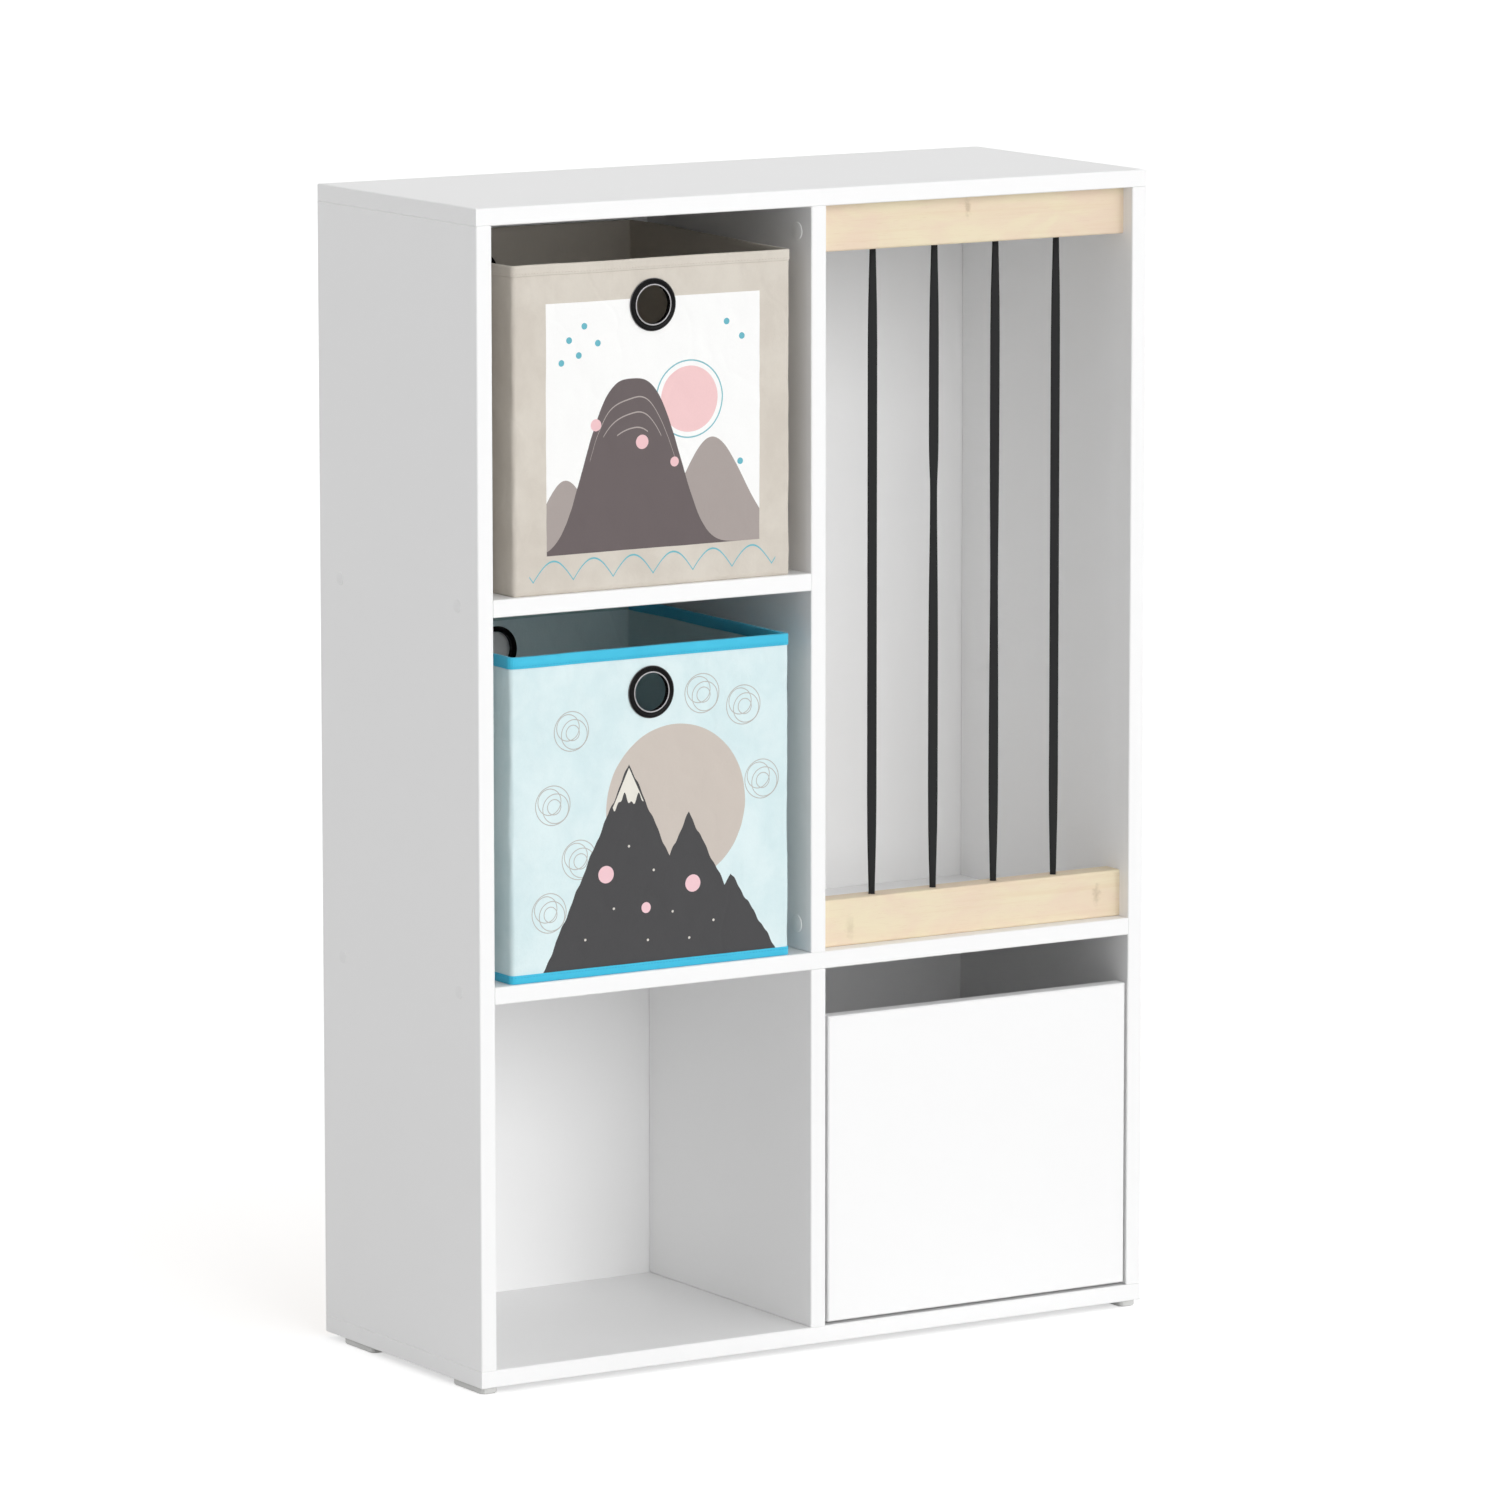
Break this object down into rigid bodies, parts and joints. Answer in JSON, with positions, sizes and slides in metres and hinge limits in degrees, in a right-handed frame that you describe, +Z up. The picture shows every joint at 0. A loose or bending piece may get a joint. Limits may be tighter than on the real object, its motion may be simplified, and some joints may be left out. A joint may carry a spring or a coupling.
{
  "type": "kids shelf unit",
  "caption": "White two-column shelf unit with pull-out fabric boxes, a toy bay behind upright elastic straps, an open bay and a drawer on roller runners.",
  "frame": {"origin": "on the floor under the middle of the cabinet's bounding box", "axes": "+X to the right as seen from the front, +Y from the front to the back, +Z up"},
  "size_m": [0.7212, 0.29, 1.0765],
  "materials": {
    "white_board": "white melamine-faced particle board with fine satin texture",
    "white_sheet": "white lacquered hardboard",
    "white_plastic": "moulded white nylon",
    "grey_plastic": "moulded pale grey plastic",
    "pale_wood": "planed and sanded pale birch, clear matt lacquer",
    "black_elastic": "woven black elastic band",
    "white_steel": "white epoxy-coated rolled steel",
    "zinc_steel": "bright zinc plate",
    "beige_fabric": "printed beige non-woven fabric over board",
    "aqua_fabric": "printed pale aqua non-woven fabric over board",
    "blue_fabric": "bright blue sewn binding tape",
    "grey_board": "cloth-covered stiffening board",
    "black_plastic": "glossy black snap-in eyelet"
  },
  "bodies": {
    "cabinet": {"top_panel": "white_board", "bottom_panel": "white_board", "left_side": "white_board", "right_side": "white_board", "middle_shelf": "white_board", "upper_left_shelf": "white_board", "upper_divider": "white_board", "lower_divider": "white_board", "back_panel": "white_sheet", "front_left_foot": "grey_plastic", "front_right_foot": "grey_plastic", "rear_left_foot": "grey_plastic", "rear_right_foot": "grey_plastic", "left_upper_shelf_front_screw": "white_plastic", "left_upper_shelf_rear_screw": "white_plastic", "left_middle_shelf_front_screw": "white_plastic", "left_middle_shelf_rear_screw": "white_plastic", "right_middle_shelf_front_screw": "white_plastic", "right_middle_shelf_rear_screw": "white_plastic", "divider_top_front_cam": "grey_plastic", "divider_top_rear_cam": "grey_plastic", "divider_bottom_front_cam": "grey_plastic", "divider_bottom_rear_cam": "grey_plastic", "divider_top_front_cam_bolt": "zinc_steel", "divider_top_rear_cam_bolt": "zinc_steel", "divider_bottom_front_cam_bolt": "zinc_steel", "divider_bottom_rear_cam_bolt": "zinc_steel", "upper_rail": "pale_wood", "lower_rail": "pale_wood", "elastic_strap_1": "black_elastic", "elastic_strap_2": "black_elastic", "elastic_strap_3": "black_elastic", "elastic_strap_4": "black_elastic", "left_cabinet_runner": "white_steel", "right_cabinet_runner": "white_steel"},
    "left_cabinet_roller": {"left_cabinet_roller": "white_plastic"},
    "right_cabinet_roller": {"right_cabinet_roller": "white_plastic"},
    "drawer": {"drawer_front": "white_board", "drawer_left_wall": "white_board", "drawer_right_wall": "white_board", "drawer_rear_wall": "white_board", "drawer_bottom": "white_sheet", "left_drawer_runner": "white_steel", "right_drawer_runner": "white_steel"},
    "left_drawer_roller": {"left_drawer_roller": "white_plastic"},
    "right_drawer_roller": {"right_drawer_roller": "white_plastic"},
    "upper_box": {"upper_box_fabric": "beige_fabric", "upper_box_base_insert": "grey_board", "upper_box_front_eyelet": "black_plastic", "upper_box_rear_eyelet": "black_plastic"},
    "lower_box": {"lower_box_fabric": "aqua_fabric", "lower_box_base_insert": "grey_board", "lower_box_front_eyelet": "black_plastic", "lower_box_rear_eyelet": "black_plastic", "lower_box_top_binding": "blue_fabric", "lower_box_bottom_binding": "blue_fabric"}
  },
  "joints": [
    {"name": "drawer_slide", "type": "slide", "parent": "cabinet", "child": "drawer", "axis": [0, -1, 0], "range_m": [0, 0.2]},
    {"name": "left_drawer_roller_spin", "type": "hinge", "parent": "drawer", "child": "left_drawer_roller", "pos_m": [0.0131, 0.11, 0.0503], "axis": [1, 0, 0], "range_deg": [0, 1147]},
    {"name": "right_drawer_roller_spin", "type": "hinge", "parent": "drawer", "child": "right_drawer_roller", "pos_m": [0.3389, 0.11, 0.0503], "axis": [1, 0, 0], "range_deg": [0, 1147]},
    {"name": "left_cabinet_roller_spin", "type": "hinge", "parent": "cabinet", "child": "left_cabinet_roller", "pos_m": [0.0131, -0.114, 0.0496], "axis": [1, 0, 0], "range_deg": [0, 1349]},
    {"name": "right_cabinet_roller_spin", "type": "hinge", "parent": "cabinet", "child": "right_cabinet_roller", "pos_m": [0.3389, -0.114, 0.0496], "axis": [1, 0, 0], "range_deg": [0, 1349]},
    {"name": "upper_box_slide", "type": "slide", "parent": "cabinet", "child": "upper_box", "axis": [0, -1, 0], "range_m": [0, 0.28]},
    {"name": "lower_box_slide", "type": "slide", "parent": "cabinet", "child": "lower_box", "axis": [0, -1, 0], "range_m": [0, 0.28]}
  ],
  "couplings": [
    {"joint": "left_drawer_roller_spin", "follows": "drawer_slide", "rad_per_m": 100},
    {"joint": "right_drawer_roller_spin", "follows": "drawer_slide", "rad_per_m": 100},
    {"joint": "left_cabinet_roller_spin", "follows": "drawer_slide", "rad_per_m": 117.65},
    {"joint": "right_cabinet_roller_spin", "follows": "drawer_slide", "rad_per_m": 117.65}
  ]
}
